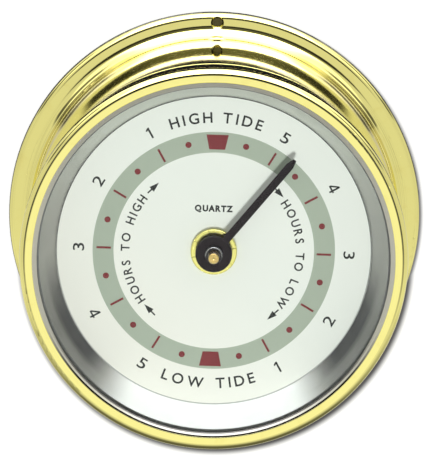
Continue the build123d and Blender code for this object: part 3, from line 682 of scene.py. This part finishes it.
# The word over the centre is straight, with the middle of each letter given from the middle of the dial
MOVEMENT_WORD = {"Q": -6.6, "U": -3.8, "A": -1.35, "R": 1.15, "T": 3.3, "Z": 5.6}
MOVEMENT_WORD_RADIUS = 16.9 * MM
movement_word = bmesh.new()
for letter, along in MOVEMENT_WORD.items():
    matrix = on_dial(0, MOVEMENT_WORD_RADIUS) @ Matrix.Translation((along * MM, 0, 0))
    add_letter(movement_word, letter, MOVEMENT_LETTERS, matrix)
new_piece("movement_word", movement_word, "black_ink")


RING_STEPS = 180


def add_ring(shape, inner, outer):
    """Add a thin closed printed ring round the dial's axis."""
    low, high = DIAL_FACE - INK, DIAL_FACE + INK
    corners = ((inner, low), (outer, low), (outer, high), (inner, high))
    points = [shape.verts.new((radius, -depth, 0)) for radius, depth in corners]
    edges = [shape.edges.new(ends) for ends in zip(points, points[1:] + points[:1])]
    bmesh.ops.spin(
        shape,
        geom=points + edges,
        axis=(0, 1, 0),
        cent=(0, 0, 0),
        steps=RING_STEPS,
        angle=2 * math.pi,
        use_merge=True,
    )
    bmesh.ops.recalc_face_normals(shape, faces=shape.faces)


BAND_INNER = 38.9 * MM
BAND_OUTER = 47.0 * MM
band = bmesh.new()
add_ring(band, BAND_INNER, BAND_OUTER)
new_piece("tide_band", band, "sage_ink")

# A dark ring at the dial's rim: painted shadow where the reflector meets the dial
EDGE_LINE_INNER = 60.85 * MM
EDGE_LINE_OUTER = 61.25 * MM
edge_line = bmesh.new()
add_ring(edge_line, EDGE_LINE_INNER, EDGE_LINE_OUTER)
new_piece("dial_edge_line", edge_line, "edge_shadow_paint")


def in_mm(*corners):
    return [(x * MM, y * MM) for x, y in corners]


# The red marks on the band: wedges at the tides, lines at the hours and dots between them
MARK_RADIUS = 43.0 * MM
DOT_RADIUS = 1.2 * MM
WEDGE = in_mm((-3.05, -2.9), (3.05, -2.9), (4.3, 2.9), (-4.3, 2.9))
LINE = in_mm((-0.42, -3.1), (0.42, -3.1), (0.42, 2.5), (-0.42, 2.5))
DOT_TURNS = [math.radians(15 * side) for side in range(24)]
DOT = [(DOT_RADIUS * math.cos(turn), DOT_RADIUS * math.sin(turn)) for turn in DOT_TURNS]
marks = bmesh.new()
for half_hour in range(24):
    if half_hour % 12 == 0:
        mark = WEDGE
    elif half_hour % 2 == 0:
        mark = LINE
    else:
        mark = DOT
    add_plate(marks, [mark], on_dial(HOUR_STEP / 2 * half_hour, MARK_RADIUS), INK, 3 * INK)
new_piece("tide_marks", marks, "red_ink")

# The arrows before and after the two lines of small words, each by its clock angle
ARROW_RADIUS = 34.2 * MM
ARROW = in_mm((-3.0, -0.28), (-0.9, -0.28), (-0.9, -1.25), (3.0, 0), (-0.9, 1.25), (-0.9, 0.28), (-3.0, 0.28))
arrows = bmesh.new()
for angle in (45, 136, 225, 315):
    add_plate(arrows, [ARROW], on_dial(angle, ARROW_RADIUS), -INK, INK)
new_piece("hour_arrows", arrows, "black_ink")


# The wall and the painted shade of its drilled holes are staging, painted in front and clear from behind
def clear_from_behind(sheet, front):
    clear = sheet.node("ShaderNodeBsdfTransparent")
    behind = sheet.node("ShaderNodeNewGeometry").outputs["Backfacing"]
    return sheet.node("ShaderNodeMixShader", values={0: behind, 1: front.outputs[0], 2: clear.outputs[0]})


# The clock's painted soft shadows on the wall
SHADE_ASIDE = 0.9 * MM
SHADE_INSET = 1.2 * MM


def round_shade(sheet, radius, down, fade):
    """Give 1 in a round painted shadow whose centre is below the clock's, going to 0 round it."""
    x, _, z = sheet.parts(sheet.place())
    reach = ((x - SHADE_ASIDE) ** 2 + (z + down) ** 2) ** 0.5
    return sheet.fall(reach, radius - SHADE_INSET, radius + fade)


def wall_paint(sheet):
    """White rolled paint that glows a little, with the clock's soft shadows painted on it."""
    rolled = sheet.noise(sheet.place(), 300, 3.0)
    flange_shade = round_shade(sheet, FLANGE_R, 0.9 * MM, 1.0 * MM)
    bezel_shade = round_shade(sheet, BEAD_R + 4.1 * MM, 20.1 * MM, 1.9 * MM)
    white = sheet.node(
        "ShaderNodeBsdfPrincipled",
        values={
            "Base Color": paint(0.90, 0.90, 0.90),
            "Roughness": 0.9,
            "Specular IOR Level": 0.0,
            "Emission Color": paint(1, 1, 1),
            "Emission Strength": 0.20,
            "Normal": sheet.bump(rolled, 0.02 * MM),
        },
    )
    dark = sheet.node("ShaderNodeBsdfDiffuse", values={"Color": paint(0.045, 0.042, 0.045)})
    share = sheet.maths("MAXIMUM", flange_shade, bezel_shade) * 0.93
    front = sheet.node("ShaderNodeMixShader", values={0: share, 1: white.outputs[0], 2: dark.outputs[0]})
    return clear_from_behind(sheet, front)


def hole_shade_paint(sheet):
    """Painted shade of a hole drilled in the wall, on a flat disc: dark and crumbly."""
    crumbs = sheet.noise(sheet.place(), 1500, 4.0)
    colour = sheet.mix(crumbs, paint(0.02, 0.018, 0.01), paint(0.16, 0.14, 0.06))
    inside = sheet.node("ShaderNodeBsdfPrincipled", values={"Base Color": colour, "Roughness": 0.8})
    return clear_from_behind(sheet, inside)


new_finish("wall_paint", wall_paint)
new_finish("hole_shade_paint", hole_shade_paint)

WALL_HALF = 3.0
WALL_GAP = 0.3 * MM
HOLE_GAP = 0.2 * MM
HOLE_R = 2.3 * MM
FACE_FRONT = Matrix.Rotation(math.radians(90), 4, "X")
wall_shape = bmesh.new()
behind_clock = Matrix.Translation((0, WALL_GAP, 0)) @ FACE_FRONT
bmesh.ops.create_grid(wall_shape, x_segments=1, y_segments=1, size=WALL_HALF, matrix=behind_clock)
wall = new_piece("wall", wall_shape, "wall_paint", None)
wall.visible_glossy = False

# Flat dark discs behind the flange's screw holes: painted shade for the depth of the holes
hole_shape = bmesh.new()
for screw in range(SCREWS["count"]):
    turned = Matrix.Rotation(2 * math.pi * screw / SCREWS["count"], 4, "Y")
    spot = turned @ Matrix.Translation((0, HOLE_GAP, SCREW_CIRCLE_R)) @ FACE_FRONT
    bmesh.ops.create_circle(hole_shape, cap_ends=True, segments=32, radius=HOLE_R, matrix=spot)
holes = new_piece("wall_holes", hole_shape, "hole_shade_paint", None)


# The lamps: all are distant, and mirrors don't show them
def add_sun(name, strength, width, above, aside=0.0):
    """Add a lamp with its width, and its angles above the dial's axis and to the side, in degrees."""
    lamp = bpy.data.lights.new(name, "SUN")
    lamp.energy = strength
    lamp.angle = math.radians(width)
    sun = bpy.data.objects.new(name, lamp)
    sun.rotation_euler = (math.radians(90 - above), 0, math.radians(aside))
    sun.visible_glossy = False
    bpy.context.scene.collection.objects.link(sun)
    return sun


def lit_only(sun, name, things):
    """Let a lamp light only some objects."""
    group = bpy.data.collections.new(name)
    for item in things:
        group.objects.link(item)
    sun.light_linking.receiver_collection = group


pieces = [item for item in bpy.context.scene.objects if item.type == "MESH" and item not in (wall, holes)]
lit_only(add_sun("key", 1.95, 9.0, -18), "clock_only", pieces)
lit_only(add_sun("top_sun", 3.2, 30.0, 52), "reflector_only", [frame["nodes"]["reflector_ring"]])
lit_only(add_sun("wall_sun", 1.9, 2.4, 14.2, -1.3), "wall_only", [wall, holes])

# The brightness of the studio by elevation in degrees, from the dark floor to the bright ceiling
STUDIO_GAIN = 1.5
STUDIO_LEVELS = (
    (-90, 0.06), (-56, 0.12), (-39, 0.35), (-22, 0.58), (-12, 0.52),
    (4, 0.50), (25, 0.52), (29, 0.90), (50, 1.0), (90, 1.0),
)
ROOM_LEVEL = 0.46


def studio_level(sky, direction):
    """Give how bright the studio looks in a direction. Its panels make the mirror images in the brass."""
    x, y, z = direction
    azimuth = sky.maths("ARCTAN2", x, -y) * DEGREES
    elevation = sky.maths("ARCSINE", z) * DEGREES
    side = abs(azimuth)
    # The elevation as the viewer in front of the clock sees it, whatever the azimuth
    fore = sky.maths("ARCTAN2", z, -y) * DEGREES
    stops = [(degrees / 180 + 0.5, (level, level, level)) for degrees, level in STUDIO_LEVELS]
    ramp = sky.node("ShaderNodeValToRGB", {"stops": stops}, {0: elevation / 180 + 0.5})
    studio = sky.number(ramp) * STUDIO_GAIN
    # A light spot straight ahead, a little below the axis
    from_spot = (azimuth * azimuth + (elevation + 12) * (elevation + 12)) ** 0.5
    studio = studio + sky.fall(from_spot, 7.0, 10.5) * 0.22
    # Dark streaks to the left and right
    streaks = sky.noise(sky.vector(azimuth * 0.16, elevation * 0.012, 0.0), 1.0)
    streaked = sky.rise(side, 18, 34) * sky.fall(elevation, 10, 28) * sky.rise(streaks, 0.48, 0.70)
    studio = studio * (1 - streaked * 0.38)
    # A hot panel overhead, weaker far up and ending at the sides
    hot = sky.rise(fore, 33.0, 37.0) * (1 - sky.rise(fore, 88.0, 104.0) * 0.55) * sky.fall(abs(x), 0.36, 0.58)
    studio = studio + hot * 2.8
    # The dark camera stand ahead
    stand = sky.fall(side, 19.0, 26.0) * sky.rise(fore, 3.5, 7.0) * sky.fall(fore, 31.0, 35.5)
    studio = studio * (1 - stand * 0.96) + stand * sky.rise(fore, 12, 20) * 0.10
    # Dark flags at both sides
    flags = sky.rise(side, 62, 70) * sky.fall(side, 92, 102)
    flags = flags * sky.rise(elevation, 17, 22) * sky.fall(elevation, 42, 50)
    studio = studio * (1 - flags * 0.85)
    # The shaded wall behind the clock
    wall_side = sky.rise(y, 0.76, 0.86) * sky.fall(y, 0.992, 0.998) * sky.rise(z, -0.15, -0.07)
    return studio * (1 - wall_side * 0.994), fore


def light_world(sky):
    """White behind the clock, even light on paint, and the studio in mirrors."""
    direction = sky.parts(sky.node("ShaderNodeTexCoord").outputs["Generated"])
    studio, fore = studio_level(sky, direction)
    rays = sky.node("ShaderNodeLightPath")
    mirrored = sky.number(rays, "Is Glossy Ray") * sky.fall(sky.number(rays, "Diffuse Depth"), 0.2, 0.8)
    seen = sky.number(rays, "Is Camera Ray")
    # What brass shows of brass is a little darker and less yellow up high
    again = sky.rise(sky.number(rays, "Glossy Depth"), 1.2, 1.8) * sky.rise(fore, 30.0, 36.0)
    studio = studio * (1 - again * 0.15)
    level = mirrored * studio + (1 - mirrored) * (seen + (1 - seen) * ROOM_LEVEL)
    blue = level * (1 + mirrored * (sky.rise(studio, 1.6, 3.0) * 0.12 + again * 0.7))
    background = sky.node("ShaderNodeBackground", values={0: sky.vector(level, level, blue)})
    sky.node("ShaderNodeOutputWorld", values={0: background.outputs[0]})


world = bpy.data.worlds.new("studio")
world.use_nodes = True
bpy.context.scene.world = world
light_world(Sheet(world.node_tree))

# The camera: 12 degrees above the dial's axis, turned a little, where the photograph was taken
ELEVATION = math.radians(12.1)
ROLL = math.radians(0.9)
DISTANCE = 1.9
AIM_RIGHT = 0.24 * MM
AIM_DOWN = 6.63 * MM
towards = Vector((0, -math.cos(ELEVATION), math.sin(ELEVATION)))
level_up = Vector((0, math.sin(ELEVATION), math.cos(ELEVATION)))
right = Vector((math.cos(ROLL), 0, 0)) + level_up * math.sin(ROLL)
up = Vector((-math.sin(ROLL), 0, 0)) + level_up * math.cos(ROLL)
stand = right * AIM_RIGHT - up * AIM_DOWN + towards * DISTANCE
optics = bpy.data.cameras.new("camera")
optics.sensor_fit = "HORIZONTAL"
optics.sensor_width = 36
optics.lens = 395.6
optics.clip_start = 0.05
optics.clip_end = 20
camera = bpy.data.objects.new("camera", optics)
camera.matrix_world = Matrix.Translation(stand) @ Matrix((right, up, towards)).transposed().to_4x4()
bpy.context.scene.collection.objects.link(camera)
bpy.context.scene.camera = camera
bpy.context.scene.view_settings.view_transform = "Standard"
